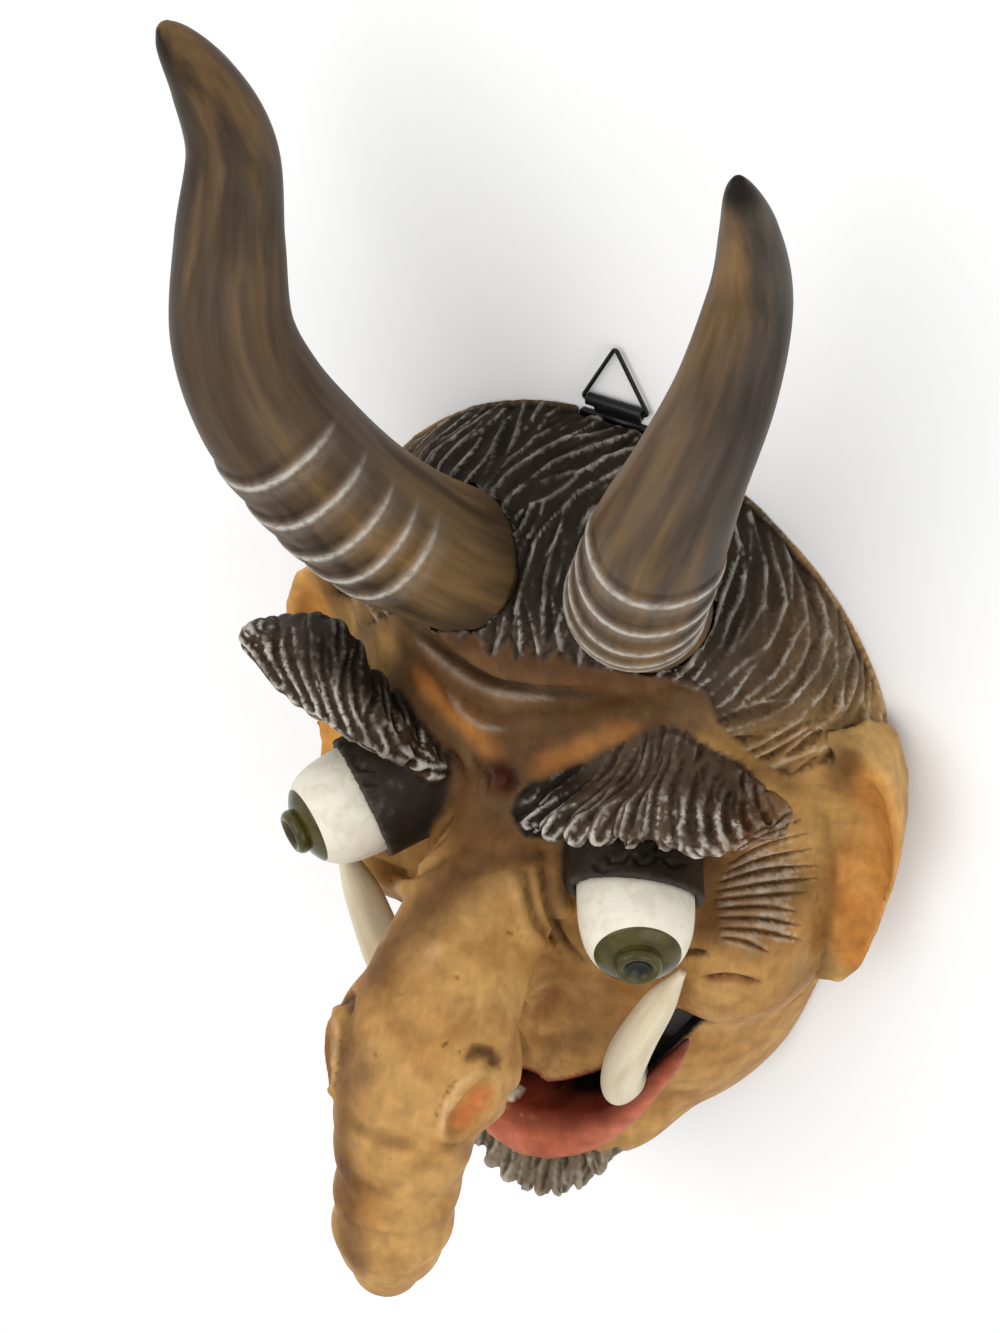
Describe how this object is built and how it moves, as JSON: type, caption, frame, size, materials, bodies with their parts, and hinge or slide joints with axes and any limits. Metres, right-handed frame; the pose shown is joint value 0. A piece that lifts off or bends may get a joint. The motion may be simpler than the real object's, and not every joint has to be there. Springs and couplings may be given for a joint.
{
  "type": "carved horned carnival mask",
  "caption": "Hollow carved wooden devil mask with curved horns, a long hooked nose, bushy brows, bulging eyes, tusks and a wire ring to hang it by.",
  "frame": {"origin": "under the middle of the mask's box, on the plane of its flat back rim", "axes": "+X to the viewer's right as one looks at the face, +Y from the chin to the horn tips, +Z out of the face; the mask lies on its back rim"},
  "size_m": [0.227, 0.4376, 0.1678],
  "materials": {
    "painted_wood": "limewood stained and painted in ochre, brown and black, dry-brushed with white on the crests, satin",
    "horn_stain": "wood stained dark grey-brown with ochre streaks, satin",
    "eye_paint": "off-white paint with a glossy dark olive iris",
    "tusk_paint": "cream paint rubbed with brown in the hollows",
    "black_steel": "black"
  },
  "bodies": {
    "mask": {"mask_head": "painted_wood", "horn_left": "horn_stain", "horn_right": "horn_stain", "eye_left": "eye_paint", "eye_right": "eye_paint", "tusk_left": "tusk_paint", "tusk_right": "tusk_paint", "hanger_plate": "black_steel", "hanger_screw_left": "black_steel", "hanger_screw_right": "black_steel"},
    "ring": {"hanger_ring": "black_steel"}
  },
  "joints": [
    {"name": "ring_swing", "type": "hinge", "parent": "mask", "child": "ring", "pos_m": [0, 0.06775, 0.0022], "axis": [1, 0, 0], "range_deg": [-140, 110]}
  ]
}
